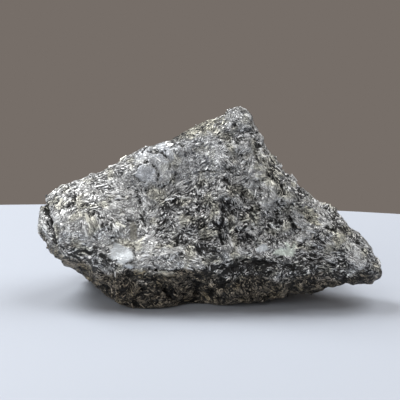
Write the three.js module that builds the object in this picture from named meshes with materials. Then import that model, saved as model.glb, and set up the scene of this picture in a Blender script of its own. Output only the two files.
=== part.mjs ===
// A hand specimen of nuummite: one broken lump of amphibole rock that rests on its underside.
//
// Millimetres, +Z up. +X runs along the stone from its round end to its pointed end, and -Y is the
// side with the bright, bladed fracture. The lists below measure from a point on the ground under the
// heart of the stone; the finished stone is then moved a little, to stand with its middle over the origin.
//
// The stone is one solid. A function gives the signed distance from any point to its surface: blocks
// cut by flat fractures and two eggs, joined with soft fillets, with swellings, hollows and broken
// relief on them. The vertices of an icosahedral sphere are drawn in towards the heart of the stone
// until they meet that surface, and are evened out along it.
import * as THREE from "three";
import { ImprovedNoise } from "three/addons/math/ImprovedNoise.js";
import { mergeVertices } from "three/addons/utils/BufferGeometryUtils.js";

// ---- driving dimensions
const SPHERE_DETAIL = 20; // splits each face of the icosahedron into (detail + 1) squared
const HEART = new THREE.Vector3(-3, 1, 24); // a point from which the whole surface can be seen
const STRETCH = new THREE.Vector3(1.6, 1, 1); // draws more of the sphere's points to the two ends
const FARTHEST = 75; // no part of the stone is farther than this from its heart
const JOIN_SOFTNESS = 5; // how wide the fillet between two masses is
const EVENING_ROUNDS = 30; // how often each vertex is drawn towards the middle of its neighbours
const EVENING_STEP = 0.5; // by this share of the way

const vector = (list) => new THREE.Vector3(...list);
const AXES = [vector([1, 0, 0]), vector([0, 1, 0]), vector([0, 0, 1])];

// A flat fracture: the way it faces, and a point that it passes through.
const fracture = (outward, through) =>
  new THREE.Plane().setFromNormalAndCoplanarPoint(vector(outward).normalize(), vector(through));

// ---- the blocks: how wide their worn edges are, and the fractures that bound them
const BODY = {
  edge: 4,
  fractures: [
    fracture([-0.2, -0.82, 0.52], [-15, -21, 17]), // the long bright slope
    fracture([0.3, -0.88, 0.33], [24, -16, 16]), // the front, right of the rib
    fracture([-0.455, -0.1, 0.885], [-34.5, 2, 38.8]), // the skyline above the round end
    fracture([-0.37, -0.1, 0.925], [-8.4, 2, 55.8]), // the skyline up to the peak
    fracture([0.87, 0.05, 0.495], [15.8, 4, 48]), // the steep right shoulder
    fracture([-0.3, 0.75, 0.62], [-6, 18, 41]), // the upper back
    fracture([0.1, 0.98, -0.1], [0, 27, 22]), // the lower back
    fracture([0.6, 0.75, 0.3], [26, 18, 24]), // the back right
    fracture([-0.75, 0.6, 0.1], [-42, 14, 24]), // the back left
    fracture([0, 0.5, -0.86], [0, 26, 8]), // under the back
    fracture([0, -0.87, -0.48], [0, -22, 15]), // the undercut below the front lip
    fracture([-0.6, -0.3, -0.74], [-39, -6, 7.2]), // under the left end
    fracture([0.27, 0.1, -0.96], [9, -8, 1.4]), // the rise of the ground side to the right
    fracture([-1, 0, 0], [-47.5, 0, 24]), // inside the round end
  ],
};
const FOOT = {
  edge: 2,
  fractures: [
    fracture([-0.1, -0.9, -0.42], [0, -14.5, 1]), // its front, in line with the undercut
    fracture([-0.9, -0.2, -0.4], [-35.5, 0, 4]), // its left end
    fracture([0.5, 0, -0.86], [7.5, 0, 0]), // its right end
    fracture([0.1, 1, -0.2], [0, 20, 4]), // its back
    fracture([0, 0, 1], [0, 0, 12]), // inside the body
  ],
};
const LEDGE = {
  edge: 1.5,
  fractures: [
    fracture([0, 0.12, -1], [28, 0, 6]), // its flat underside
    fracture([1, -0.1, 0.1], [35, 0, 5]), // its broken end, below the wing
    fracture([0.1, -1, -0.1], [28, -10, 5]), // its front
    fracture([0.1, 1, 0], [28, 12, 5]), // its back
    fracture([0, 0, 1], [28, 0, 12]), // inside the body
    fracture([-1, 0, 0], [12, 0, 5]), // inside the body too
  ],
};
const WING = {
  edge: 4,
  fractures: [
    fracture([0.5, -0.12, 0.86], [33, -8, 31.6]), // its top
    fracture([0.78, -0.2, 0.6], [47, -10, 22.8]), // its sloping end
    fracture([0.02, -0.97, 0.2], [40, -19.5, 14]), // its front, in line with the lip
    fracture([0.05, -0.6, -0.8], [40, -19, 8.4]), // the undercut below that
    fracture([0.35, 0.9, 0.2], [40, -1, 14]), // its back
    fracture([0.03, 0.2, -0.97], [42, -16, 4.8]), // its underside, which rises to the back
    fracture([0.95, -0.1, -0.3], [59.8, -12, 10]), // its blunt tip
    fracture([-0.8, -0.5, 0.2], [14, -14, 14]), // where it grows out of the body
  ],
};

// ---- the rounded masses: centre, half sizes, and how far each is turned about the Y axis
const EGGS = [
  { at: [-38.2, -1, 21], half: [17.5, 15.5, 12.7], turn: -22 }, // the round left end
  { at: [8.8, 3, 54.2], half: [4.5, 5, 6.2], turn: 15 }, // the knob of the peak
];

// ---- swellings and hollows on one side of the stone, seen along the Y axis: their middle [x, z],
// half sizes, the turn of the first half size from level, how far they rise, and how flat their top is
const FRONT = [
  { at: [-16.5, 44], half: [10, 7], turn: 30, rise: 1.3, flat: 0.6 }, // the smooth boss
  { at: [-38, 24], half: [15, 11], turn: 15, rise: 1, flat: 0.3 }, // the round end's cheek
  { at: [-24, 29], half: [3.2, 9], turn: 6, rise: -1.4, flat: 0 }, // the groove beside it
  { at: [-29, 20.5], half: [9, 3.5], turn: -15, rise: -1.5, flat: 0 }, // the fold above the lip
  { at: [-19, 15], half: [19, 6.5], turn: -6, rise: 2, flat: 0.4 }, // the lip
  { at: [-8, 36], half: [9, 8], turn: 0, rise: -1.4, flat: 0.2 }, // the dull hollow
  { at: [2.5, 37], half: [4.2, 18], turn: 3, rise: 1.6, flat: 0 }, // the rib below the peak
  { at: [10, 34], half: [6, 13], turn: 8, rise: -2, flat: 0 }, // the valley beside it
  { at: [4.5, 22.5], half: [3, 6], turn: 8, rise: -1.8, flat: 0 }, // the crack at its foot
  { at: [15.5, 19], half: [6, 4.5], turn: 0, rise: 1.6, flat: 0.2 }, // a lump on the lip's right
  { at: [27, 17], half: [8, 5.5], turn: 10, rise: 1.5, flat: 0.2 }, // another, at the root of the wing
  { at: [21, 28], half: [6, 6.5], turn: 20, rise: -1.4, flat: 0 }, // the hollow above them
  { at: [24, 37], half: [5, 4], turn: -40, rise: 1, flat: 0.2 }, // a bump below the skyline
  { at: [-51.5, 25], half: [2.6, 6], turn: 15, rise: -1.6, flat: 0 }, // the slot in the round end
  { at: [-21, 2.5], half: [10, 5.5], turn: 0, rise: 4.8, flat: 0.4 }, // the foot's left lump
  { at: [-5, 3.5], half: [5, 4.5], turn: 0, rise: -3.2, flat: 0.2 }, // a bay beside it
  { at: [5, 4.5], half: [7, 4.5], turn: 5, rise: 2.4, flat: 0.2 }, // the swelling right of that
];
const BACK = [
  { at: [-30, 28], half: [14, 9], turn: 20, rise: 1.8, flat: 0.4 },
  { at: [-6, 24], half: [9, 15], turn: -20, rise: -2.4, flat: 0.2 },
  { at: [12, 34], half: [8, 10], turn: 10, rise: 1.8, flat: 0.4 },
  { at: [26, 16], half: [8, 6], turn: 0, rise: -1.8, flat: 0.2 },
  { at: [2, 10], half: [16, 5], turn: 5, rise: 1.8, flat: 0.3 },
];

// ---- relief: how long and how high each size of lump is
const RELIEF = [
  { wavelength: 26, height: 1.6 },
  { wavelength: 12, height: 1.1 },
  { wavelength: 5.5, height: 0.9 },
];

// ---- signed distances, negative inside
function smoothMax(a, b, width) {
  const near = Math.max(width - Math.abs(a - b), 0) / width;
  return Math.max(a, b) + (near * near * width) / 4;
}
const smoothMin = (a, b, width) => -smoothMax(-a, -b, width);

const blockDistance = (point, { edge, fractures }) =>
  fractures.map((plane) => plane.distanceToPoint(point)).reduce((a, b) => smoothMax(a, b, edge));

function eggDistance(point, { at, half, turn }) {
  const upright = new THREE.Vector3(0, 1, 0);
  const local = point.clone().sub(vector(at));
  local.applyAxisAngle(upright, THREE.MathUtils.degToRad(turn)).divide(vector(half));
  const reach = local.length();
  const steepness = local.divide(vector(half)).length();
  return steepness > 0 ? (reach * (reach - 1)) / steepness : -Math.min(...half);
}

// How far one swelling raises the surface over the place [x, z].
function swellingRise(x, z, { at, half, turn, rise, flat }) {
  const away = new THREE.Vector2(x - at[0], z - at[1]);
  away.rotateAround(new THREE.Vector2(), -THREE.MathUtils.degToRad(turn));
  const reach = Math.hypot(away.x / half[0], away.y / half[1]);
  return rise * (1 - THREE.MathUtils.smoothstep(reach, flat, 1.3));
}

const noise = new ImprovedNoise();

function reliefRise(point) {
  return RELIEF.reduce((sum, { wavelength, height }, i) => {
    const at = point.clone().divideScalar(wavelength).addScalar(17.3 * (i + 1));
    return sum + height * noise.noise(at.x, at.y, at.z);
  }, 0);
}

function stoneDistance(point) {
  let distance = blockDistance(point, BODY);
  for (const block of [FOOT, LEDGE, WING]) {
    distance = smoothMin(distance, blockDistance(point, block), JOIN_SOFTNESS);
  }
  for (const egg of EGGS) {
    distance = smoothMin(distance, eggDistance(point, egg), JOIN_SOFTNESS);
  }
  const side = point.y < HEART.y ? FRONT : BACK;
  const nearSide = THREE.MathUtils.smoothstep(Math.abs(point.y - HEART.y), 0, 6);
  for (const swelling of side) {
    distance -= nearSide * swellingRise(point.x, point.z, swelling);
  }
  // The ground side is flat: the stone was broken off along one plane.
  return Math.max(distance - reliefRise(point), -point.z);
}

// ---- the skin
// Walks in from outside by part of the distance that is left, until the surface is met.
function surfaceAlong(direction) {
  const point = HEART.clone().addScaledVector(direction, FARTHEST);
  for (let i = 0; i < 80; i++) {
    const gap = stoneDistance(point);
    if (gap < 0.005) break;
    point.addScaledVector(direction, -0.6 * gap);
  }
  return point;
}

// Which way the distance grows, measured over a small step along each axis.
function slopeAt(point) {
  const step = 0.2;
  const rise = (axis) =>
    stoneDistance(point.clone().addScaledVector(axis, step)) -
    stoneDistance(point.clone().addScaledVector(axis, -step));
  const slope = new THREE.Vector3(rise(AXES[0]), rise(AXES[1]), rise(AXES[2]));
  return slope.divideScalar(2 * step);
}

// Moves a point that is near the surface straight onto it.
function surfaceNear(point) {
  for (let i = 0; i < 2; i++) {
    const slope = slopeAt(point);
    point.addScaledVector(slope, -stoneDistance(point) / Math.max(slope.lengthSq(), 0.25));
  }
  return point;
}

function neighboursOf(geometry) {
  const found = Array.from({ length: geometry.attributes.position.count }, () => new Set());
  const corners = geometry.index.array;
  for (let i = 0; i < corners.length; i += 3) {
    for (const [a, b] of [[0, 1], [1, 2], [2, 0]]) {
      found[corners[i + a]].add(corners[i + b]);
      found[corners[i + b]].add(corners[i + a]);
    }
  }
  return found;
}

// The middle of a point's neighbours, where those farther away count for more.
function middleOf(neighbours, point) {
  const middle = new THREE.Vector3();
  let total = 0;
  for (const neighbour of neighbours) {
    const weight = point.distanceTo(neighbour);
    middle.addScaledVector(neighbour, weight);
    total += weight;
  }
  return middle.divideScalar(total);
}

function closedSphere() {
  const sphere = new THREE.IcosahedronGeometry(1, SPHERE_DETAIL);
  sphere.deleteAttribute("normal");
  sphere.deleteAttribute("uv");
  return mergeVertices(sphere, 1e-4);
}

function stoneGeometry() {
  const skin = closedSphere();
  const position = skin.attributes.position;
  const neighbours = neighboursOf(skin);

  let points = [];
  for (let i = 0; i < position.count; i++) {
    const direction = new THREE.Vector3().fromBufferAttribute(position, i).multiply(STRETCH);
    points.push(surfaceAlong(direction.normalize()));
  }
  for (let round = 0; round < EVENING_ROUNDS; round++) {
    points = points.map((point, i) => {
      const around = Array.from(neighbours[i], (n) => points[n]);
      return surfaceNear(point.clone().lerp(middleOf(around, point), EVENING_STEP));
    });
  }
  points.forEach((point, i) => position.setXYZ(i, point.x, point.y, Math.max(point.z, 0)));

  skin.computeBoundingBox();
  const centre = skin.boundingBox.getCenter(new THREE.Vector3());
  skin.translate(-centre.x, -centre.y, 0);
  skin.computeVertexNormals();
  return skin;
}

const stone = new THREE.Mesh(
  stoneGeometry(),
  new THREE.MeshStandardMaterial({ color: 0x8f908c, roughness: 0.55, metalness: 0 }),
);
stone.name = "nuummite";

const specimen = new THREE.Group();
specimen.add(stone);

export default specimen;
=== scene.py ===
# %% [markdown]
# # A hand specimen of nuummite
# Nuummite is an old metamorphic rock made almost wholly of amphibole: long flat laths of anthophyllite
# and gedrite that grew through each other every way. Broken, it is a dull dark stone whose laths flash
# silver wherever a cleavage face happens to lie right for the light.
#
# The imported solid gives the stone's size and its large forms. This lesson gives it a skin with finer
# relief, lays over two thousand loose laths in that skin, and colours both. The size stays as it is.

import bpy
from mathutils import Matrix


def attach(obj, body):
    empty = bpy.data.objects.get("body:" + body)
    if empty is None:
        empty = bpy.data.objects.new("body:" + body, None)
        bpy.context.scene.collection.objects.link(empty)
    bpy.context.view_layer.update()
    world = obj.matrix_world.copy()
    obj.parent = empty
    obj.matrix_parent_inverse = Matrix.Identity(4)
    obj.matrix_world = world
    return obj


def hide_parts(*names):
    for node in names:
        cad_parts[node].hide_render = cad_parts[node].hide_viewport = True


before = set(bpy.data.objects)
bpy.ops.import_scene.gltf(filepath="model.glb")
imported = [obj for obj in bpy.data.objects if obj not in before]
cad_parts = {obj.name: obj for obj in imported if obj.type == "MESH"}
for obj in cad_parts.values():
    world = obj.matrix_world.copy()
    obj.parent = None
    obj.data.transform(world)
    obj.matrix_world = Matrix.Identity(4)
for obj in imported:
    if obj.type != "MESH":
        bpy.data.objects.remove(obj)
print("nodes:", list(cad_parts))

# %% [markdown]
# The solid is one closed node. Everything below is placed from it, in metres. Sizes are easier to think
# of in millimetres, so the lists hold millimetres and are turned to metres where a mesh is made.

# %% Units and the solid
import math

import bmesh
import bpy
import numpy as np
from mathutils import Vector, kdtree, noise

MM = 0.001
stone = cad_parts["nuummite"]
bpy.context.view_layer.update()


# %% [markdown]
# ## Where the stone differs from place to place
# A real specimen isn't even: crystals are coarse and bright at one end, fine and darker in the hollows,
# where the darkness is painted shade. They lie along a bed in one place and wrap round a knob in another.
# Lists of ellipses say so for the bright side of this one specimen, and noise frays their edges. The other
# side is left to chance.
#
# Each place has its middle and half sizes along X and Z in mm, and a turn in degrees. Then comes what it
# does to the stone. "tone" makes it lighter or darker. "coarse" makes the laths larger, with fewer of them
# loose. "rough" strengthens or weakens the relief. "grain" is the way the laths run, in degrees from X, or
# "round" the middle, and "hold" says how strictly. Large cleavage faces and stains only have a "share",
# which says how much of the rock they hide.
#
# The patches have no names. They only make small spots lighter or darker: partly this specimen's colour,
# and partly painted light and shade, lighter where light falls and darker where shade falls. Another
# specimen would do without them: the list can be emptied.


# %% Helpers for rows of places
def noise_at(spots, wavelength, layer=0):
    """Perlin noise, about -1 to 1, at each row of spots. Layers are unlike each other."""
    shift = Vector((7.3, 3.1, 5.7)) * (layer + 1)
    return np.array([noise.noise(Vector(spot) / wavelength + shift) for spot in spots])


def smoothstep(low, high, values):
    """0 up to low, 1 from high on, and an even curve between. It falls if low is above high."""
    share = np.clip((values - low) / (high - low), 0, 1)
    return share * share * (3 - 2 * share)


def unit(rows):
    """Each row with its length made 1."""
    return rows / np.maximum(np.linalg.norm(rows, axis=1), 1e-9)[:, None]


# %% The list of places
def place(x, z, half_x, half_z, turn=0, **does):
    return {"at": (x, z), "half": (half_x, half_z), "turn": math.radians(turn), "does": does}


# Some tones below are painted light and shade as well as the rock's own: the hollow, the valley and its
# side, and the low edge of the wing are darker where shade falls, and the top of the wing is lighter where
# light falls.
PLACES = {
    "round_end": place(-37, 27, 17, 13, tone=0.2, coarse=1, rough=-0.35, grain="round", hold=0.7),
    "round_end_low": place(-42, 24, 8, 8, tone=0.08),
    "long_slope": place(-27, 40, 17, 4, 27, tone=0.04, coarse=0.5, rough=-0.6, grain=27, hold=1),
    "boss": place(-17.2, 43.5, 7.5, 6.5, 20, tone=0.1, rough=-0.7, grain="round", hold=1.5),
    "below_boss": place(-24.5, 35.5, 6, 6, tone=0.1),
    "crest": place(-3, 53, 9, 3, 20, tone=-0.02, rough=-0.3, grain=22, hold=1),
    "plateau": place(-4, 42, 8, 7, 10, tone=0.03, rough=-0.4, grain=40, hold=1),
    "peak": place(10, 54, 6, 6, tone=0.04, rough=-0.1, grain="round", hold=1),
    "right_edge": place(21, 42, 12, 4, -52, tone=0.06, rough=0.3, grain=-55, hold=1),
    "right_face": place(13, 43, 7, 8, tone=0.27, rough=0.2, grain=60, hold=0.6),
    "mid_hollow": place(-9, 29, 9, 8, tone=-0.06, rough=0.1, grain=15, hold=0.8),
    "valley": place(4, 31, 3.5, 9, -4, tone=-0.12, rough=0.3, grain=85, hold=1.5),
    "valley_side": place(-3, 24.5, 3.5, 6, 10, tone=-0.1, rough=0.2),
    "mid_right": place(18, 31, 11, 9, tone=0.1, rough=0.4, grain=-20, hold=0.5),
    "apron": place(-20.5, 18.8, 3.2, 5, -30, tone=0.18, rough=-0.2, grain=60, hold=1),
    "lip": place(-16, 16.5, 18, 5, -6, tone=0.25, coarse=0.4, rough=-0.1, grain=-8, hold=1.5),
    "bed": place(20, 14.5, 19, 2.6, 0, tone=-0.25, rough=0.1, grain=3, hold=2.5),
    "foot": place(-8, 5, 34, 6, tone=0.03, rough=0.5, grain=0, hold=0.5),
    "foot_end": place(-35, 10.5, 8, 5, -20, tone=0.12, grain=-30, hold=1),
    "wing_root": place(31, 26.5, 6, 3.5, -30, tone=0.1, rough=0.1),
    "wing_top": place(41, 22.5, 12, 3, -41, tone=0.15, rough=-0.1, grain=-41, hold=2),
    "wing_front": place(40, 16, 13, 6, -15, tone=0.04, grain=-22, hold=2),
    "wing_low": place(42, 13, 5, 2.5, -10, tone=-0.1),
}
CLEAVAGE_FACES = {
    "blue": [
        place(-17.6, 42.6, 6.4, 5, 20, share=0.55),
        place(-14.4, 46.2, 3.2, 2, -35, share=0.7),
        place(-20.3, 40.6, 2.9, 2.1, -18, share=0.8),
        place(-4, 45, 9, 6, 15, share=0.35),
        place(9, 55.5, 4, 4, 0, share=0.3),
    ],
    "white": [
        place(-27.2, 17.6, 3.7, 2.3, -22, share=1),
        place(-25.2, 14.9, 1.8, 0.8, -40, share=0.9),
        place(15.8, 19.6, 1.9, 0.9, 12, share=1),
    ],
    "green": [
        place(22.6, 18.6, 3.2, 0.9, -4, share=0.9),
        place(23.7, 20, 0.6, 1.6, 25, share=0.85),
        place(25.3, 19.8, 0.5, 1.5, -20, share=0.85),
    ],
    "dull": [place(-23.8, 23.7, 1.1, 2.6, 4, share=0.8)],
}
STAINS = [
    place(-4.6, 53.5, 8, 2.4, 20, share=0.6),
    place(31.2, 28.6, 3, 1.8, -35, share=0.6),
    place(39.2, 22.2, 3, 1.6, -30, share=0.6),
    place(18, 41.5, 6, 3, -50, share=0.4),
]
# Spots of tone: part the rock's colour, part painted light and shade.
TONE_AND_PAINTED_LIGHT_PATCHES = [
    place(10.2, 22.4, 2, 1.7, 0, tone=-0.25),
    place(25.1, 27.7, 1.2, 1.4, 0, tone=-0.4),
    place(9.4, 29.7, 2.6, 1.5, 0, tone=-0.2),
    place(21.1, 26.5, 1.6, 2.1, 0, tone=-0.25),
    place(11.4, 15.6, 7, 1.5, 0, tone=-0.15),
    place(25.5, 36, 4.6, 2.6, -30, tone=0.16),
    place(30, 26.6, 4.2, 3, 0, tone=0.14),
    place(6.5, 21.7, 1.6, 2.2, 0, tone=0.12),
    place(-12, 13.8, 9, 1, -3, tone=0.22),
    place(-32.5, 29, 1.8, 3, 0, tone=0.1),
    place(-38.4, 30.5, 1.6, 3, 0, tone=-0.12),
    place(-39, 15.6, 9, 3, -32, tone=-0.22),
    place(20, 11.4, 3, 1, 0, tone=0.2),
    place(-16, 48.3, 9, 2.4, 20, tone=-0.3),
    place(30.5, 28.8, 4, 2.2, -35, tone=0.12),
    place(39.5, 22.4, 4, 2, -30, tone=0.12),
    place(42.5, 25, 8, 1.6, -47, tone=-0.22),
    place(12, 46, 3, 9, 20, tone=0.12),
    place(-38.5, 16.4, 11.5, 2.4, -3, tone=-0.35),
    place(-41.5, 24.4, 8.6, 4.4, 0, tone=0.3),
    place(-39.5, 22.4, 5, 2.8, 0, tone=0.2),
    place(13, 13.4, 17, 2.2, 0, tone=-0.4),
    place(-14.5, 41, 8.5, 4, 20, tone=0.35),
    place(-25, 37, 3, 3, 0, tone=0.3),
    place(-24.6, 18.8, 5, 3.4, -10, tone=0.2),
    place(-32, 20, 2.4, 2.2, 0, tone=0.4),
    place(-20.9, 19.8, 2.6, 2.4, 0, tone=0.5),
    place(28.7, 33.3, 3.4, 2.6, -40, tone=-0.4),
    place(27, 23.1, 4.8, 4.2, 0, tone=0.4),
    place(37.3, 20, 2.1, 2.2, 0, tone=0.6),
    place(17.2, 36.8, 6.2, 3.4, -35, tone=0.4),
    place(-26.8, 29.6, 4.8, 2.2, 0, tone=0.2),
    place(42, 9.8, 5, 1.6, -15, tone=-0.4),
    place(8.6, 44.3, 1.9, 1.9, 0, tone=0.9),
    place(-2.3, 43.1, 2.8, 5.4, 10, tone=-0.2),
    place(-12.5, 31.5, 3.4, 3, 0, tone=-0.25),
    place(-17.5, 29.8, 2.5, 2.5, 0, tone=0.4),
    place(-26, 44, 8, 2, 27, tone=-0.22),
    place(-37.2, 35.4, 6, 2.8, 27, tone=-0.25),
    place(-45.7, 32.6, 4.6, 2.6, 40, tone=-0.25),
    place(-31.6, 8.6, 7, 2.4, 0, tone=0.25),
    place(3.6, 9.8, 6.5, 2.4, 0, tone=-0.3),
    place(30, 13.8, 4, 2, 0, tone=-0.3),
    place(8, 17, 2.6, 2, 0, tone=0.3),
    place(-0.8, 19.3, 4, 3.6, 0, tone=-0.25),
    place(5.7, 9.5, 4, 2, 0, tone=-0.2),
    place(-13.7, 30, 2.2, 2, 0, tone=-0.3),
    place(40.2, 26, 4, 1.6, -45, tone=-0.25),
    place(-29.4, 16.9, 1.8, 2, 0, tone=-0.45),
    place(-8.2, 43, 2.6, 4.4, 0, tone=0.2),
    place(6.1, 48.2, 3.6, 2, 0, tone=0.25),
    place(15.8, 23.4, 2.2, 2.2, 0, tone=0.25),
    place(-13.8, 13.9, 5, 1.2, 0, tone=0.2),
    place(-30.3, 25.6, 4.5, 2.4, 0, tone=-0.25),
    place(-32.7, 35.8, 2.5, 2, 0, tone=-0.2),
    place(23.2, 37.5, 2.2, 3, 0, tone=-0.25),
    place(0.1, 13.5, 2.2, 1.8, 0, tone=-0.3),
    place(-12, 37.2, 4.5, 2.6, 10, tone=0.3),
    place(-23.5, 41, 5, 2, 27, tone=0.25),
]
print("places:", len(PLACES), "patches:", len(TONE_AND_PAINTED_LIGHT_PATCHES), "stains:", len(STAINS))


# %% Helpers to read the lists
FRAY = 0.35  # how far noise frays the edge of a place, as a share of its size
FRAY_LENGTH = 5  # mm from one bay of the frayed edge to the next
FINE_FRAY_LENGTH = 1.5  # the same on the sharper edges of faces and stains
FACE_FRAY, FACE_CORNERS = 0.2, 4  # cleavage faces are nearly oblong, with little fraying


def towards_the_front(normals):
    """Above 0 where the surface looks to the front or up and to the front, below 0 at the back."""
    return -normals[:, 1] + 0.5 * normals[:, 2]


def reach(spot, spots, normals, fray, wavelength, corners=2):
    """How much of a place each spot has, 0 to 1. It fades round to the far side of the stone.

    A place is an ellipse at corners of 2, and nears an oblong as they rise."""
    x = spots[:, 0] - spot["at"][0]
    z = spots[:, 2] - spot["at"][1]
    along = (x * math.cos(spot["turn"]) + z * math.sin(spot["turn"])) / spot["half"][0]
    across = (z * math.cos(spot["turn"]) - x * math.sin(spot["turn"])) / spot["half"][1]
    distance = (np.abs(along) ** corners + np.abs(across) ** corners) ** (1 / corners)
    distance += fray * noise_at(spots, wavelength, layer=9)
    on_the_bright_side = smoothstep(-0.1, 0.3, towards_the_front(normals))
    return smoothstep(1.1, 0.9, distance) * on_the_bright_side


def total(what, spots, normals):
    """The sum of what all the places do, at each spot."""
    doing = [spot for spot in (*PLACES.values(), *TONE_AND_PAINTED_LIGHT_PATCHES) if what in spot["does"]]
    return sum(spot["does"][what] * reach(spot, spots, normals, FRAY, FRAY_LENGTH) for spot in doing)


def strongest(places, spots, normals, fray, corners=2):
    """The largest share that any of the places has, at each spot."""
    shares = []
    for spot in places:
        shares.append(spot["does"]["share"] * reach(spot, spots, normals, fray, FINE_FRAY_LENGTH, corners))
    return np.maximum.reduce(shares)


def face_at(places, spots, normals):
    """How much of each spot a large cleavage face hides."""
    return strongest(places, spots, normals, FACE_FRAY, FACE_CORNERS)


# %% Helper for the grain
SWIRL, SWIRL_LENGTH = 1.2, 22  # strength and size in mm of the drift that noise gives the grain


def grain_at(spots, normals):
    """The way the laths run at each spot, as a line. They keep to a longer line more strictly."""
    lines = SWIRL * np.stack([noise_at(spots, SWIRL_LENGTH, layer) for layer in (20, 21, 22)], axis=1)
    for spot in PLACES.values():
        if "grain" not in spot["does"]:
            continue
        grain = spot["does"]["grain"]
        if grain == "round":
            outward = spots - np.array([spot["at"][0], 0, spot["at"][1]])
            way = unit(np.cross(normals, outward * [1, 0, 1]))
        else:
            way = np.array([math.cos(math.radians(grain)), 0, math.sin(math.radians(grain))])
        lines += spot["does"]["hold"] * reach(spot, spots, normals, FRAY, FRAY_LENGTH)[:, None] * way
    return lines


# %% [markdown]
# ## The skin
# Under and between the loose laths the rock itself shows: the same laths, cut off level. A copy of the
# solid is cut finer with subdivide_edges and its facets are smoothed away. Noise then raises relief that
# is too small for the solid: knobs 2 to 5 mm apart and ridges along the laths. A Displace modifier could
# do that too, but it would need a vertex group to spare the large cleavage faces and the flat seat.

# %% Cut the solid's copy finer
CUTS = 3  # cuts on each edge, so each triangle becomes sixteen
SMOOTHING_ROUNDS = 6

skin_form = bmesh.new()
skin_form.from_mesh(stone.data)
bmesh.ops.remove_doubles(skin_form, verts=skin_form.verts, dist=0.001 * MM)
bmesh.ops.subdivide_edges(skin_form, edges=skin_form.edges, cuts=CUTS, use_grid_fill=True)
for _ in range(SMOOTHING_ROUNDS):
    bmesh.ops.smooth_vert(
        skin_form, verts=skin_form.verts, factor=0.5, use_axis_x=True, use_axis_y=True, use_axis_z=True
    )
skin_form.normal_update()
print("skin faces:", len(skin_form.faces))


# %% Helpers to read the skin
def vectors(form, what):
    return np.array([getattr(vert, what) for vert in form.verts])


def scatter(form, count):
    """Random spots on a bmesh, as many on each face as its area asks, and the smooth normal there."""
    triangles = form.calc_loop_triangles()
    corners = np.array([[loop.vert.index for loop in triangle] for triangle in triangles])
    spots = vectors(form, "co") / MM
    normals = vectors(form, "normal")
    a, b, c = (spots[corners[:, i]] for i in range(3))
    area = np.linalg.norm(np.cross(b - a, c - a), axis=1)
    chosen = random.choice(len(corners), count, p=area / area.sum())
    mix = random.dirichlet((1, 1, 1), count)[:, :, None]
    return (spots[corners[chosen]] * mix).sum(axis=1), unit((normals[corners[chosen]] * mix).sum(axis=1))


def nearest(centres, spots):
    """Which of the centres is nearest to each spot."""
    tree = kdtree.KDTree(len(centres))
    for i, centre in enumerate(centres):
        tree.insert(centre, i)
    tree.balance()
    return np.array([tree.find(spot)[1] for spot in spots])


# %% [markdown]
# Laths that grew from one point lie in a sheaf. 1200 sheaf centres are scattered over the skin, each with
# its own line: partly the grain of its place, partly chance. Skin and laths both take their line from the
# nearest centre, so the relief, the pattern of the rock and the laths all run one way.

# %% Scatter the sheaves
SHEAVES = 1200
GRAIN_HOLD = 2.6  # how much more the grain counts than chance

random = np.random.default_rng(8)
sheaf_spots, sheaf_normals = scatter(skin_form, SHEAVES)
sheaf_lines = unit(random.normal(size=(SHEAVES, 3)) + GRAIN_HOLD * grain_at(sheaf_spots, sheaf_normals))
skin_area = sum(face.calc_area() for face in skin_form.faces) / MM**2
print("skin, square mm:", round(skin_area), "mm between sheaves:", round(math.sqrt(skin_area / SHEAVES), 2))


# %% [markdown]
# Broken laths leave slits and notches where they tore out. The largest on the bright side are given one
# by one: a half width, a depth and the X and Z of the points that the slit runs through, all in mm.

# %% The list of slits
def slit(half_width, depth, *points):
    return {"half": half_width, "depth": depth, "points": np.array(points)}


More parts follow.
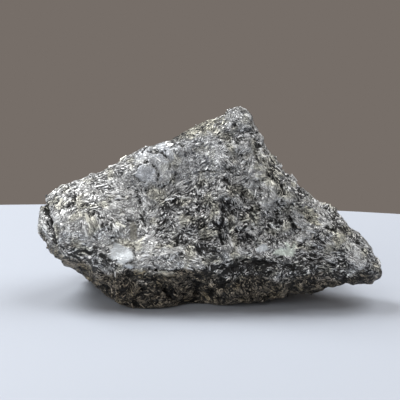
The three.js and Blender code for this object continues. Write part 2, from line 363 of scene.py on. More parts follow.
SLITS = [
    slit(1.25, 2.6, (-52.3, 29.2), (-50.8, 26.2), (-49.4, 23.2), (-48.3, 19.8)),
    slit(0.55, 0.9, (-40.3, 30.4), (-37.7, 32.0)),
    slit(0.55, 1, (-38.9, 28.9), (-36.6, 30.9)),
    slit(0.45, 0.8, (-37.0, 28.1), (-34.8, 31.1)),
    slit(0.5, 0.9, (-45.8, 29.8), (-43.9, 30.9), (-42.1, 31.7), (-42.5, 33.2)),
    slit(0.6, 1.2, (-23.3, 35.4), (-22.1, 31.6)),
    slit(0.6, 0.8, (-21.8, 28.6), (-20.9, 25.6)),
    slit(1.1, 1.1, (4.4, 29.5), (3.2, 25.2)),
    slit(1, 1.1, (2.9, 24.6), (4.1, 21.4)),
    slit(0.9, 1.5, (24.3, 28.2), (25.5, 26.0)),
    slit(0.6, 0.8, (8.1, 24.6), (13.2, 22.2)),
    slit(0.7, 1.0, (7.1, 54.6), (7.9, 55.2)),
    slit(0.4, 0.8, (8.9, 53.2), (15.4, 52.6)),
    slit(0.7, 1.1, (17.1, 48.4), (19.2, 47.2)),
    slit(0.9, 1.1, (35.5, 25.6), (38.5, 24.4)),
    slit(0.55, 1.0, (27.2, 20.9), (32.6, 22.7), (38.0, 18.8)),
    slit(0.5, 0.7, (35.4, 29.3), (45.3, 21.8)),
    slit(0.5, 0.9, (26.3, 17.9), (32.5, 16.6), (38.8, 14.2)),
    slit(0.5, 0.7, (45.1, 21), (51.8, 13.8)),
    slit(0.5, 0.9, (9.6, 16.1), (24.8, 14.8)),
    slit(0.55, 1.2, (-18.9, 13.9), (-6.6, 12.6)),
    slit(0.4, 0.7, (-26.5, 20.6), (-23.2, 19.2), (-23.3, 16.6), (-25.4, 15.6)),
    slit(0.4, 0.8, (-24.2, 40.4), (-22.6, 43), (-19.6, 44)),
    slit(0.4, 0.8, (-18.4, 42.6), (-16.4, 41), (-16.2, 38.4)),
    slit(0.4, 0.8, (-19.8, 46.4), (-16.2, 46.8), (-13.4, 45), (-12.4, 42)),
    slit(0.45, 0.8, (-15.2, 36.2), (-12.2, 37.6), (-10.6, 40.6)),
    slit(0.4, 0.7, (-24.3, 39.4), (-22.3, 38.0), (-20.0, 37.9)),
    slit(0.3, 0.5, (-14.4, 46.8), (-14.0, 44.7)),
    slit(0.5, 0.7, (-9.9, 49.0), (-8.3, 48.6)),
    slit(0.35, 0.6, (-3.2, 41.0), (-0.9, 41.9), (2.6, 41.8)),
    slit(0.35, 0.7, (2.5, 51.6), (5.8, 51.1), (6.3, 49.0)),
]
print("slits:", len(SLITS), "the deepest, mm:", max(line["depth"] for line in SLITS))


# %% Helper for the depth of the slits
SLIT_WANDER, SLIT_WANDER_LENGTH = 0.7, 2.2  # mm that noise bends a slit, and from one bend to the next


def slit_depth(spots, normals):
    """How deep the slits are at each spot, in mm."""
    deepest = np.zeros(len(spots))
    bend = np.stack([noise_at(spots, SLIT_WANDER_LENGTH, layer) for layer in (12, 13)], axis=1)
    flat = spots[:, [0, 2]] + SLIT_WANDER * bend
    front = smoothstep(-0.3, 0, towards_the_front(normals))
    for line in SLITS:
        for start, end in zip(line["points"], line["points"][1:]):
            way = end - start
            share = np.clip((flat - start) @ way / (way @ way), 0, 1)
            distance = np.linalg.norm(flat - start - share[:, None] * way, axis=1)
            depth = line["depth"] * smoothstep(line["half"], 0.3 * line["half"], distance)
            deepest = np.maximum(deepest, depth * front)
    return deepest


# %% Raise the fine relief
# In mm. The first of each pair is about how far it rises or cuts in, the second is from one to the next.
KNOBS, KNOB_LENGTH = 0.95, 4.5
SMALL_KNOBS, SMALL_KNOB_LENGTH = 0.5, 2.4
RIDGES, RIDGE_LENGTH = 0.45, 1.3
TORN_DEPTH, TORN_LENGTH = 0.4, 2.6  # the gaps that torn laths leave all over the skin
PIT_DEPTH, PIT_LENGTH = 1, 3  # the pits where whole crystals fell out of the rough parts
RIDGE_STRETCH = 4  # how much longer the ridges are than wide
FLATTEST = 0.85  # the share of its relief that a cleavage face loses
SINK = 0.15  # mm that the skin lies below the solid, so that the laths fill up to it

skin_spots = vectors(skin_form, "co") / MM
skin_normals = vectors(skin_form, "normal")
skin_sheaf = nearest(sheaf_spots, skin_spots)
every_face = sum(CLEAVAGE_FACES.values(), [])
flat_share = face_at(every_face, skin_spots, skin_normals)
off_the_seat = smoothstep(0.2, 2.5, skin_spots[:, 2])

from_centre = skin_spots - sheaf_spots[skin_sheaf]
along = (from_centre * sheaf_lines[skin_sheaf]).sum(axis=1)[:, None] * sheaf_lines[skin_sheaf]
squeezed = skin_spots - along * (1 - 1 / RIDGE_STRETCH)
roughness = np.clip(1 + total("rough", skin_spots, skin_normals), 0.2, 1.6)
small_relief = roughness * (
    KNOBS * noise_at(skin_spots, KNOB_LENGTH, layer=1)
    + SMALL_KNOBS * noise_at(skin_spots, SMALL_KNOB_LENGTH, layer=2)
    + RIDGES * noise_at(squeezed, RIDGE_LENGTH, layer=3)
)
torn = TORN_DEPTH * roughness * smoothstep(0.12, 0.02, np.abs(noise_at(squeezed, TORN_LENGTH, layer=4)))
in_a_pit = smoothstep(0.25, 0.4, noise_at(skin_spots, PIT_LENGTH, layer=10))
pits = PIT_DEPTH * smoothstep(1, 1.4, roughness) * in_a_pit
cut = np.maximum(slit_depth(skin_spots, skin_normals), np.maximum(torn, pits) * (1 - flat_share))
rise = (small_relief * (1 - FLATTEST * flat_share) - cut - SINK) * off_the_seat
for vert, spot, normal, height in zip(skin_form.verts, skin_spots, skin_normals, rise):
    vert.co = Vector(spot + normal * height) * MM
    vert.co.z = max(vert.co.z, 0)
skin_form.normal_update()
print("relief, mm:", round(float(rise.min()), 2), "to", round(float(rise.max()), 2))

# %% Make the skin a piece
skin_mesh = bpy.data.meshes.new("rock_skin")
skin_form.to_mesh(skin_mesh)
skin_mesh.shade_smooth()
rock_skin = bpy.data.objects.new("rock_skin", skin_mesh)
bpy.context.collection.objects.link(rock_skin)
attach(rock_skin, "root")
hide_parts("nuummite")
print("rock_skin:", len(skin_mesh.vertices), "vertices")

# %% [markdown]
# A material can't look up the list of places. So the mesh carries what the material needs, as attributes:
# one value at each vertex of the skin, or one at each face of a lath.


# %% Helpers that write an attribute
def note(mesh, name, values, domain="POINT"):
    """One number for each vertex or face."""
    layer = mesh.attributes.new(name, "FLOAT", domain)
    layer.data.foreach_set("value", np.asarray(values, dtype=np.float32))


def note_line(mesh, name, rows):
    """One direction for each vertex."""
    layer = mesh.attributes.new(name, "FLOAT_VECTOR", "POINT")
    layer.data.foreach_set("vector", np.asarray(rows, dtype=np.float32).ravel())


# %% Helpers for tone, earth, stains and coarseness
BASE_TONE = 0.66  # of rock that no place makes lighter or darker
DARK_FOOT_ENDS, DARK_FOOT_FULL = 12, 8.5  # mm above the ground
BROWN_AND_SHADE_DARKER = 0.24  # how much the brown underneath, partly painted shade, takes from the tone
PALEST = 1.05  # above this tone no dark lath would be left
TONE_NOISES = ((0.1, 14, 5), (0.34, 5, 7), (0.42, 2.2, 8))  # strength, mm from patch to patch, layer
STAIN_FRAY = 0.9
TINGE = 0.45  # the most that chance alone stains
COARSE_BY_CHANCE = 0.9  # how much chance adds or takes


def brown_and_shade_at(spots, normals):
    """Brown and darker on faces that look down and low on the foot; the darkening there is partly painted
    shade under the stone.
    """
    below = smoothstep(-0.05, -0.5, normals[:, 2])
    foot = smoothstep(DARK_FOOT_ENDS, DARK_FOOT_FULL, spots[:, 2] + 2 * noise_at(spots, 5, layer=6))
    return np.maximum(below, foot)


def tone_at(spots, normals):
    """Lighter or darker by place, in patches of chance, and darker underneath. Places and patches hold some
    painted light and shade, and the darkening underneath is partly painted shade.
    """
    patchy = sum(strength * noise_at(spots, length, layer) for strength, length, layer in TONE_NOISES)
    tone = BASE_TONE + total("tone", spots, normals) + patchy - BROWN_AND_SHADE_DARKER * brown_and_shade_at(spots, normals)
    return np.minimum(tone, PALEST)


def stain_at(spots, normals):
    """Yellow iron stains by place, and a fainter tinge in patches of chance."""
    tinge = TINGE * smoothstep(0.05, 0.45, noise_at(spots, 4, layer=14))
    return np.maximum(strongest(STAINS, spots, normals, STAIN_FRAY), tinge)


def coarse_at(spots, normals):
    """How coarse the laths are, 0 to 1: by place and in patches of chance."""
    by_chance = COARSE_BY_CHANCE * noise_at(spots, 5, layer=11)
    return np.clip(total("coarse", spots, normals) + by_chance, 0, 1)


# %% Note on the skin what its material needs
# Painted light and shade: the tone is made paler on the knobs of the relief and darker in its slits,
# partings and pits.
PAINTED_LIGHT_ON_KNOBS = 0.3  # added to the tone for each mm that the relief rises
PAINTED_SHADE_IN_CUTS = 0.8  # taken from it for each mm of slit, parting or pit

# The skin's tone, with painted light on the knobs and painted shade in the cuts.
skin_tones_with_painted_light = tone_at(skin_spots, skin_normals) + PAINTED_LIGHT_ON_KNOBS * small_relief - PAINTED_SHADE_IN_CUTS * cut
note(skin_mesh, "tone", skin_tones_with_painted_light)
note(skin_mesh, "coarse", coarse_at(skin_spots, skin_normals))
note(skin_mesh, "brown", brown_and_shade_at(skin_spots, skin_normals))
note(skin_mesh, "stain", stain_at(skin_spots, skin_normals))
unbroken = smoothstep(0.4, 0.1, cut)
for name, places in CLEAVAGE_FACES.items():
    note(skin_mesh, name + "_face", face_at(places, skin_spots, skin_normals) * unbroken)
note_line(skin_mesh, "line", sheaf_lines[skin_sheaf])
print("tone of the skin:", round(float(skin_tones_with_painted_light.mean()), 2), "on average")

# %% [markdown]
# ## The laths
# An amphibole lath is a flat blade, a few times longer than wide, that splits along its length. Hair or
# instances would be quick, but they are lost when a model is exported. So one lath is modelled, and arrays
# turn, size and place its copies in a joined mesh. A rock breaks through its crystals rather than round
# them, so each copy lies about half its thickness deep in the skin, tilted a little.


# %% One lath
def lath_form():
    """A blade one unit long, wide and high, that runs out into a splinter at one end."""
    form = bmesh.new()
    bmesh.ops.create_cube(form, size=1)
    top = [vert for vert in form.verts if vert.co.z > 0]
    bmesh.ops.scale(form, verts=top, vec=(0.94, 0.84, 1))
    tip = [vert for vert in form.verts if vert.co.x > 0]
    bmesh.ops.scale(form, verts=tip, vec=(1, 0.4, 0.7))
    points = np.array([vert.co for vert in form.verts])
    corners = np.array([[vert.index for vert in face.verts] for face in form.faces])
    form.free()
    return points, corners


lath_points, lath_corners = lath_form()
print("faces of one lath:", len(lath_corners))

# %% Choose where laths lie
LATHS = 3000  # before some are left out
LOWEST = 0.5  # mm above the ground
BARE = 1.3  # the chance that a lath is left out where a face hides all, or for each mm of a slit
BARE_WHERE_COARSE = 0.5  # the same where the stone is coarse

lath_spots, lath_normals = scatter(skin_form, LATHS)
coarse = coarse_at(lath_spots, lath_normals)
bare = face_at(every_face, lath_spots, lath_normals) + slit_depth(lath_spots, lath_normals)
kept = (lath_spots[:, 2] > LOWEST) & (random.random(LATHS) > BARE * bare + BARE_WHERE_COARSE * coarse)
lath_spots, lath_normals, coarse = lath_spots[kept], lath_normals[kept], coarse[kept]
count = len(lath_spots)
print("laths:", count)


# %% Give each lath its direction
def turned(first, second, degrees):
    """Turns two rows of directions towards each other by an angle of its own for each row."""
    angle = random.normal(scale=math.radians(degrees), size=count)[:, None]
    return first * np.cos(angle) + second * np.sin(angle), second * np.cos(angle) - first * np.sin(angle)


FAN, LEAN, ROLL = 16, 4, 18  # degrees: within the skin, out of it, and about the lath itself
STRAY = 0.4  # mm that a lath may lie over the border of its sheaf

lath_sheaf = nearest(sheaf_spots, lath_spots + random.normal(scale=STRAY, size=lath_spots.shape))
lines = sheaf_lines[lath_sheaf]
lines = unit(lines - lath_normals * (lines * lath_normals).sum(axis=1)[:, None])
sides = np.cross(lath_normals, lines)
lines, sides = turned(lines, sides, FAN)
lines, ups = turned(lines, lath_normals, LEAN)
sides, ups = turned(sides, ups, ROLL)
out_of_skin = np.degrees(np.arcsin(np.abs((lines * lath_normals).sum(axis=1))))
print("laths lean out of the skin by up to, degrees:", round(float(out_of_skin.max()), 1))

# %% [markdown]
# A few laths are large and most are small, as crystals are. The broad ones show their cleavage face and
# are pale. The narrow ones are seen edge on, are dark, and read as the gaps between the others. One in
# twenty-five is broader than its neighbours and has a painted glint: it is made paler, as if it caught the
# light.

# %% Give each lath its size and tone
BROAD_SHARE, PAINTED_GLINT_SHARE = 0.65, 0.04
USUAL_LENGTH, LENGTH_SPREAD = 1.4, 0.45  # mm, and the spread of its logarithm
LONGER_WHERE_COARSE = 0.4
GLINT_LATHS_WIDER, PAINTED_GLINT_PALER, NARROW_DARKER = 1.5, 0.4, 0.35
THICKEST = 0.35  # mm
BY_SHEAF_TONE, BY_LATH_TONE = 0.12, 0.22  # how much the tone varies from sheaf to sheaf and lath to lath

broad = random.random(count) < BROAD_SHARE
painted_glint = random.random(count) < PAINTED_GLINT_SHARE
length = USUAL_LENGTH * np.exp(LENGTH_SPREAD * random.normal(size=count).clip(-2, 1.5))
length = length * (1 + LONGER_WHERE_COARSE * coarse)
slenderness = np.where(broad, random.uniform(3, 7, count), random.uniform(8, 14, count))
width = length / slenderness * np.where(painted_glint, GLINT_LATHS_WIDER, 1)
thickness = np.minimum(0.5 * width, THICKEST)

tone = tone_at(lath_spots, lath_normals) + BY_SHEAF_TONE * random.normal(size=SHEAVES)[lath_sheaf]
# A painted highlight: the glinting laths are made paler.
tone = tone + np.where(broad, 0, -NARROW_DARKER) + np.where(painted_glint, PAINTED_GLINT_PALER, 0)
tone = np.clip(tone + BY_LATH_TONE * random.normal(size=count), 0, 1)
stain = stain_at(lath_spots, lath_normals)
brown = brown_and_shade_at(lath_spots, lath_normals)
print("lath length and width, mm:", round(float(np.median(length)), 2), round(float(np.median(width)), 2))

# %% Join the laths into pieces
LEVEL = -0.03  # mm that the middle of a lath lies above the skin


def joined_laths(name, chosen):
    size = np.stack([length[chosen], width[chosen], thickness[chosen]], axis=1)[:, None, :]
    axes = np.stack([lines[chosen], sides[chosen], ups[chosen]], axis=1)
    middle = lath_spots[chosen] + lath_normals[chosen] * LEVEL
    points = (np.einsum("nvk,nkj->nvj", lath_points[None] * size, axes) + middle[:, None]) * MM
    points[:, :, 2] = np.maximum(points[:, :, 2], 0.02 * MM)
    corners = lath_corners[None] + len(lath_points) * np.arange(len(chosen))[:, None, None]
    mesh = bpy.data.meshes.new(name)
    mesh.from_pydata(points.reshape(-1, 3), [], corners.reshape(-1, 4))
    piece = bpy.data.objects.new(name, mesh)
    bpy.context.collection.objects.link(piece)
    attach(piece, "root")
    for what, values in {"tone": tone, "brown": brown, "stain": stain}.items():
        note(mesh, what, np.repeat(values[chosen], len(lath_corners)), domain="FACE")
    print(name, len(chosen), "laths")
    return piece


LATH_PIECES = ("dark_laths", "grey_laths", "silver_laths")
lath_pieces = [
    joined_laths(name, chosen) for name, chosen in zip(LATH_PIECES, np.array_split(np.argsort(tone), 3))
]

# %% [markdown]
# ## Colours
# Every colour starts as an sRGB hex value, as a colour chart gives it, and one function turns it to the
# linear values that the shader wants. Another adds a node, so that a material reads as a list of steps.


# %% Helper for colours
def paint(hex_code):
    """An sRGB hex value as linear red, green, blue and alpha."""
    parts = [int(hex_code[i : i + 2], 16) / 255 for i in (0, 2, 4)]
    linear = [part / 12.92 if part <= 0.04045 else ((part + 0.055) / 1.055) ** 2.4 for part in parts]
    return (*linear, 1)


print("a middle grey, 808080, is linear", round(paint("808080")[0], 3))


# %% Helpers for materials
def add(tree, kind, inputs, **settings):
    """Adds a node. Each input gets a value, an output, or a node, which stands for its first output."""
    node = tree.nodes.new("ShaderNode" + kind)
    for name, value in settings.items():
        setattr(node, name, value)
    for socket, value in inputs.items():
        if isinstance(value, bpy.types.Node):
            value = value.outputs[0]
        if isinstance(value, bpy.types.NodeSocket):
            tree.links.new(value, node.inputs[socket])
        else:
            node.inputs[socket].default_value = value
    return node


def new_material(name, **shader_values):
    """A material, its node tree and its shader, with values set on the shader's own sockets."""
    material = bpy.data.materials.new(name)
    material.use_nodes = True
    tree = material.node_tree
    shader = tree.nodes["Principled BSDF"]
    for socket, value in shader_values.items():
        shader.inputs[socket.replace("_", " ")].default_value = value
    return material, tree, shader


# %% [markdown]
# ### Amphibole
# The mineral is a clove-brown to grey glass that looks darkest where a lath is seen edge on and nearly
# white where fresh cleavage faces the light. One ramp from dark to pale stands for that, so that laths and
# skin agree. The brown underneath, partly painted shade, and iron stains only tint it: they multiply the
# grey, and the laths still show through.
#
# A single glassy surface sends back too little light for the pearly flash, since on the real lath many
# cleavage planes lie one under another. A part of metal in the shader stands for them.

# %% The mineral's colours
AMPHIBOLE_GREYS = [(0.3, "0d0d0e"), (0.42, "47494b"), (0.54, "a4a7a9"), (0.66, "dcdfe0"), (0.85, "f8fafa")]
TINTS = {"brown": "b8ab98", "stain": "e6e0c0"}
PEARLY = 0.25  # metallic share
print("greys, dark to pale:", [hex_code for _, hex_code in AMPHIBOLE_GREYS])


def amphibole_colour(tree, tone_here):
    """The mineral's colour for a tone from 0, a gap, to 1, fresh cleavage, with its tints."""
    ramp = add(tree, "ValToRGB", {0: tone_here})
    for _ in AMPHIBOLE_GREYS[2:]:
        ramp.color_ramp.elements.new(1)
    for element, (where, hex_code) in zip(ramp.color_ramp.elements, AMPHIBOLE_GREYS):
        element.position = where
        element.color = paint(hex_code)
    colour = ramp.outputs["Color"]
    for name, tint in TINTS.items():
        share = add(tree, "Attribute", {}, attribute_name=name).outputs["Fac"]
        tinting = {0: share, 6: colour, 7: paint(tint)}
        colour = add(tree, "Mix", tinting, data_type="RGBA", blend_type="MULTIPLY").outputs[2]
    return colour


# %% [markdown]
# The laths are anthophyllite, split along its cleavage, which leaves a smooth face with a pearly flash.


# %% Lath material
def lath_material():
    material, tree, shader = new_material("split_anthophyllite", Roughness=0.4, IOR=1.64, Metallic=PEARLY)
    lath_tone = add(tree, "Attribute", {}, attribute_name="tone").outputs["Fac"]
    tree.links.new(amphibole_colour(tree, lath_tone), shader.inputs["Base Color"])
    return material


laths_finish = lath_material()
for piece in lath_pieces:
    piece.data.materials.append(laths_finish)
print(laths_finish.name, "on", len(lath_pieces), "pieces")

# %% [markdown]
# ### Skin
# The skin shows laths that broke off level with it. Its pattern is made in two steps. A Voronoi pattern of
# 5 mm cells is the sheaves. In each cell the coordinates are squeezed along the line that the mesh
# carries, and a second Voronoi pattern in them gives long cells, which are the laths. Each has its own
# grey and its own tilt, and a dark parting runs round it. Fine noise in the same squeezed coordinates
# draws the lines that cleavage leaves along each lath.
#
# Where the stone is palest, and on the large cleavage faces, the partings are partly closed. Dark lines
# all over a bright spot would turn it grey.

# %% Coordinates for the sheaves
SHEAF_SIZE = 5.0  # mm
BEND, BENDS_PER_MM = 2, 0.4  # mm that noise bends the borders of sheaves, and bends in each mm
LATH_STRETCH = 6  # how much longer the cells of laths are than wide


def squeezed_sheaves(tree, mm):
    """Coordinates in mm, shorter along the laths. Gives them and a random colour for each sheaf."""
    swirl = add(tree, "TexNoise", {"Vector": mm, "Scale": BENDS_PER_MM, "Detail": 1.0}).outputs["Color"]
    bent = add(tree, "VectorMath", {0: swirl, 1: (BEND, BEND, BEND), 2: mm}, operation="MULTIPLY_ADD")
    sheaf = add(tree, "TexVoronoi", {"Vector": bent, "Scale": 1 / SHEAF_SIZE})
    sheaf_colour = sheaf.outputs["Color"]
    by_chance = {0: sheaf_colour, 1: (0.5, 0.5, 0.5), 2: (-0.25, -0.25, -0.25)}
    chance = add(tree, "VectorMath", by_chance, operation="MULTIPLY_ADD")
    noted = add(tree, "Attribute", {}, attribute_name="line").outputs["Vector"]
    leaning = add(tree, "VectorMath", {0: noted, 1: chance}, operation="ADD")
    line = add(tree, "VectorMath", {0: leaning}, operation="NORMALIZE")
    offset = add(tree, "VectorMath", {0: bent, 1: sheaf.outputs["Position"]}, operation="SUBTRACT")
    along = add(tree, "VectorMath", {0: offset, 1: line}, operation="DOT_PRODUCT").outputs["Value"]
    pull = add(tree, "Math", {0: along, 1: 1 / LATH_STRETCH - 1}, operation="MULTIPLY")
    pulled = add(tree, "VectorMath", {0: line, "Scale": pull}, operation="SCALE")
    squeezed = add(tree, "VectorMath", {0: offset, 1: pulled}, operation="ADD")
    return squeezed, sheaf_colour


# %% Cells for the laths
LATH_WIDTH = 0.36  # mm; real ones start at 0.1 mm, which is too fine to show at arm's length
FINENESS_WHERE_COARSE = 0.45  # so the cells are over twice as wide there


def lath_cells(tree, squeezed, sheaf_colour):
    """Cells as long as laths. Gives each one's random colour, its tilt and the distance to its edge."""
    coarse_here = add(tree, "Attribute", {}, attribute_name="coarse").outputs["Fac"]
    finest = 1 / LATH_WIDTH
    by_place = {"Value": coarse_here, "To Min": finest, "To Max": FINENESS_WHERE_COARSE * finest}
    fineness = add(tree, "MapRange", by_place)
    sized = add(tree, "VectorMath", {0: squeezed, "Scale": fineness}, operation="SCALE")
    cells = add(tree, "VectorMath", {0: sheaf_colour, 1: (37, 37, 37), 2: sized}, operation="MULTIPLY_ADD")
    lath = add(tree, "TexVoronoi", {"Vector": cells, "Scale": 1.0})
    edge = add(tree, "TexVoronoi", {"Vector": cells, "Scale": 1.0}, feature="DISTANCE_TO_EDGE")
    lean = add(tree, "VectorMath", {0: lath.outputs["Color"], 1: (0.5, 0.5, 0.5)}, operation="SUBTRACT")
    reach_out = add(tree, "VectorMath", {0: cells, 1: lath.outputs["Position"]}, operation="SUBTRACT")
    tilt = add(tree, "VectorMath", {0: reach_out, 1: lean}, operation="DOT_PRODUCT")
    return lath.outputs["Color"], tilt.outputs["Value"], edge.outputs["Distance"]


# %% Tone and large faces of the skin
FACE_COLOURS = {"blue_face": "b8bfc9", "white_face": "e0e7ec", "green_face": "dfebe2", "dull_face": "6d6b5c"}
BY_LATH, BY_SHEAF, BY_LINE = 1.35, 0.3, 1.6  # how far the tone varies
TAKEN_BACK = 1.35  # most of what those three add on average


def skin_tone(tree, noted, lath_colour, sheaf_colour, lines_here):
    """The mesh's tone, shifted for each lath and each sheaf and along the cleavage lines."""
    chance = add(tree, "SeparateColor", {0: lath_colour}).outputs["Red"]
    sheaf_chance = add(tree, "SeparateColor", {0: sheaf_colour}).outputs["Green"]
    by_lath = add(tree, "Math", {0: chance, 1: BY_LATH, 2: noted}, operation="MULTIPLY_ADD")
    by_sheaf = add(tree, "Math", {0: sheaf_chance, 1: BY_SHEAF, 2: by_lath}, operation="MULTIPLY_ADD")
    by_line = add(tree, "Math", {0: lines_here, 1: BY_LINE, 2: by_sheaf}, operation="MULTIPLY_ADD")
    return add(tree, "Math", {0: by_line, 1: TAKEN_BACK}, operation="SUBTRACT")


def with_faces(tree, colour):
    """The colour with the large cleavage faces laid over it, and the share that any of them has."""
    smooth = 0.0
    for name, tint in FACE_COLOURS.items():
        share = add(tree, "Attribute", {}, attribute_name=name).outputs["Fac"]
        tinted = add(tree, "Mix", {0: share, 6: colour, 7: paint(tint)}, data_type="RGBA")
        colour = tinted.outputs[2]
        smooth = add(tree, "Math", {0: share, 1: smooth}, operation="MAXIMUM")
    return colour, smooth


# %% Partings between the laths
TIGHT, LOOSE = 0.05, 0.3  # the half width of a parting, in widths of a lath
CURLS_PER_MM = 0.8  # of the curled partings, which don't keep to the cells
CLOSED_WHERE_PALE, CLOSED_ON_FACES = 0.35, 0.7


def partings(tree, mm, squeezed, edge):
    """0 in the gaps between the cells and in curled ones that don't keep to them, 1 elsewhere."""
    looseness = add(tree, "TexNoise", {"Vector": mm, "Scale": 0.6, "Detail": 2.0})
    widths = {"Value": looseness, "From Min": 0.35, "From Max": 0.65, "To Min": TIGHT, "To Max": LOOSE}
    widest = add(tree, "MapRange", widths)
    between = add(tree, "MapRange", {"Value": edge, "From Max": widest})
    curls = add(tree, "TexNoise", {"Vector": squeezed, "Scale": CURLS_PER_MM, "Detail": 1.0})
    from_curl = add(tree, "Math", {0: curls, 1: 0.5}, operation="SUBTRACT")
    off_curl = add(tree, "Math", {0: from_curl}, operation="ABSOLUTE")
    beside = add(tree, "MapRange", {"Value": off_curl, "From Min": 0.015, "From Max": 0.045})
    return add(tree, "Math", {0: between, 1: beside}, operation="MULTIPLY")


def partly_closed(tree, parting, noted, smooth):
    """The same partings, but lighter where the rock is pale and on large cleavage faces."""
    pale = {"Value": noted, "From Min": 0.7, "From Max": 1.1, "To Max": CLOSED_WHERE_PALE}
    in_the_pale = add(tree, "MapRange", pale)
    on_a_face = add(tree, "Math", {0: smooth, 1: CLOSED_ON_FACES}, operation="MULTIPLY")
    closed = add(tree, "Math", {0: on_a_face, 1: in_the_pale}, operation="MAXIMUM")
    return add(tree, "Math", {0: parting, 1: closed}, operation="MAXIMUM")


# %% Skin material
GAP_COLOUR = "12110f"
CLEAVAGE_LINES = 0.3  # mm from one to the next; real ones lie closer than the eye can part
PARTING_HEIGHT, TILT_HEIGHT, LINE_HEIGHT = 0.15, 0.6, 0.12  # mm, of the bump
CALMED = 0.2  # the share of the bump that a large cleavage face keeps


def bump_height(tree, partings_here, tilt, striae, smooth):
    """The bump's height in mm: partings, the tilt of each lath and its cleavage lines."""
    grooves = add(tree, "Math", {0: partings_here, 1: PARTING_HEIGHT}, operation="MULTIPLY")
    tilted = add(tree, "Math", {0: tilt, 1: TILT_HEIGHT, 2: grooves}, operation="MULTIPLY_ADD")
    lined = add(tree, "Math", {0: striae, 1: LINE_HEIGHT, 2: tilted}, operation="MULTIPLY_ADD")
    calm = add(tree, "MapRange", {"Value": smooth, "To Min": 1.0, "To Max": CALMED})
    return add(tree, "Math", {0: lined, 1: calm}, operation="MULTIPLY")


def skin_material():
    material, tree, shader = new_material("broken_amphibole_rock", Roughness=0.4, IOR=1.62, Metallic=PEARLY)
    metres = add(tree, "TexCoord", {}).outputs["Object"]
    mm = add(tree, "Mapping", {"Vector": metres, "Scale": (1 / MM, 1 / MM, 1 / MM)})
    noted = add(tree, "Attribute", {}, attribute_name="tone").outputs["Fac"]
    squeezed, sheaf_colour = squeezed_sheaves(tree, mm)
    lath_colour, tilt, edge = lath_cells(tree, squeezed, sheaf_colour)
    striae = add(tree, "TexNoise", {"Vector": squeezed, "Scale": 0.5 / CLEAVAGE_LINES, "Detail": 2.0})
    tone_here = skin_tone(tree, noted, lath_colour, sheaf_colour, striae)
    colour, smooth = with_faces(tree, amphibole_colour(tree, tone_here))
    partings_here = partly_closed(tree, partings(tree, mm, squeezed, edge), noted, smooth)
    parted = add(tree, "Mix", {0: partings_here, 6: paint(GAP_COLOUR), 7: colour}, data_type="RGBA")
    tree.links.new(parted.outputs[2], shader.inputs["Base Color"])
    height = bump_height(tree, partings_here, tilt, striae, smooth)
    bump = add(tree, "Bump", {"Height": height, "Distance": MM})
    tree.links.new(bump.outputs["Normal"], shader.inputs["Normal"])
    return material


skin_mesh.materials.clear()
skin_mesh.materials.append(skin_material())
print(skin_mesh.materials[0].name, "has", len(skin_mesh.materials[0].node_tree.nodes), "nodes")

# %% [markdown]
# ## The table, the light and the camera
# The stone lies on a round table top, a pale laminate, which is pressed with a faint grain so that it
# doesn't shine. A disc is enough, because only its top and the far edge are seen. Three large soft lamps
# stand for a window behind the stone to the left, a bright wall behind it to the right, and the room in
# front of it. The world's even colour is the wall and fills the shadows.

# %% Table
TABLE_RADIUS = 490 * MM
TABLE_BACK = 132 * MM  # how far behind the stone its edge is
TABLE_MIDDLE = -56 * MM  # along X


def laminate_material():
    """Laminate: a pale printed sheet under a hard clear resin, pressed with a fine grain."""
    material, tree, shader = new_material("pressed_white_laminate", Roughness=0.5, IOR=1.5)
    metres = add(tree, "TexCoord", {}).outputs["Object"]
    cloud = add(tree, "TexNoise", {"Vector": metres, "Scale": 6.0, "Detail": 2.0})
    colour = add(tree, "Mix", {0: cloud, 6: paint("b1b8c3"), 7: paint("b7bec9")}, data_type="RGBA")
    tree.links.new(colour.outputs[2], shader.inputs["Base Color"])
    grain = add(tree, "TexNoise", {"Vector": metres, "Scale": 1 / (2 * MM), "Detail": 1.0})
    bump = add(tree, "Bump", {"Height": grain, "Distance": 0.02 * MM})
    tree.links.new(bump.outputs["Normal"], shader.inputs["Normal"])
    return material


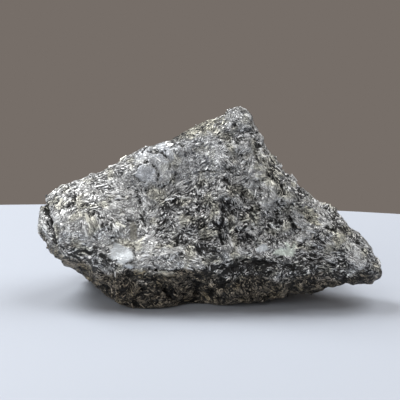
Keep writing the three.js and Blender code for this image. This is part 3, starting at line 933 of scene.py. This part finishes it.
table_form = bmesh.new()
bmesh.ops.create_circle(table_form, cap_ends=True, radius=TABLE_RADIUS, segments=256)
bmesh.ops.translate(table_form, verts=table_form.verts, vec=(TABLE_MIDDLE, TABLE_BACK - TABLE_RADIUS, 0))
table_mesh = bpy.data.meshes.new("table_top")
table_form.to_mesh(table_mesh)
table_form.free()
table_top = bpy.data.objects.new("table_top", table_mesh)
bpy.context.collection.objects.link(table_top)
table_mesh.materials.append(laminate_material())
print("table, mm across:", round(2 * TABLE_RADIUS / MM))


# %% Light
STONE_MIDDLE = Vector((0, 0, 0.03))
ROOM_COLOUR = "766e68"


def area_light(name, power, size, spot):
    """A square lamp of so many watts, so wide, at a spot in metres. It looks at the stone's middle."""
    light = bpy.data.lights.new(name, "AREA")
    light.energy = power
    light.size = size
    lamp = bpy.data.objects.new(name, light)
    lamp.location = spot
    lamp.rotation_euler = (STONE_MIDDLE - Vector(spot)).to_track_quat("-Z", "Y").to_euler()
    bpy.context.collection.objects.link(lamp)


area_light("window", 8.8, 0.5, (-0.46, 0.33, 0.7))
area_light("room", 3.7, 0.8, (-0.485, -0.69, 0.31))
area_light("far_wall", 6.4, 0.8, (0.43, 0.2, 0.77))

world = bpy.data.worlds.new("room")
world.use_nodes = True
world.node_tree.nodes["Background"].inputs["Color"].default_value = paint(ROOM_COLOUR)
bpy.context.scene.world = world
bpy.context.scene.view_settings.view_transform = "Standard"
print("lamps, watts:", {light.name: round(light.energy, 1) for light in bpy.data.lights})

# %% Camera
CAMERA_ELEVATION = math.radians(12)
CAMERA_DISTANCE = 400 * MM
VIEW_WIDTH = 127.6 * MM  # what the frame takes in at that distance

camera_data = bpy.data.cameras.new("camera")
camera_data.lens = camera_data.sensor_width * CAMERA_DISTANCE / VIEW_WIDTH
camera = bpy.data.objects.new("camera", camera_data)
look_at = Vector((-3.2, -2.6, 30.5)) * MM
back = Vector((0, -math.cos(CAMERA_ELEVATION), math.sin(CAMERA_ELEVATION)))
camera.location = look_at + back * CAMERA_DISTANCE
camera.rotation_euler = (-back).to_track_quat("-Z", "Y").to_euler()
bpy.context.collection.objects.link(camera)
bpy.context.scene.camera = camera
print("lens, mm:", round(camera_data.lens, 1))

# %% Finish
skin_form.free()
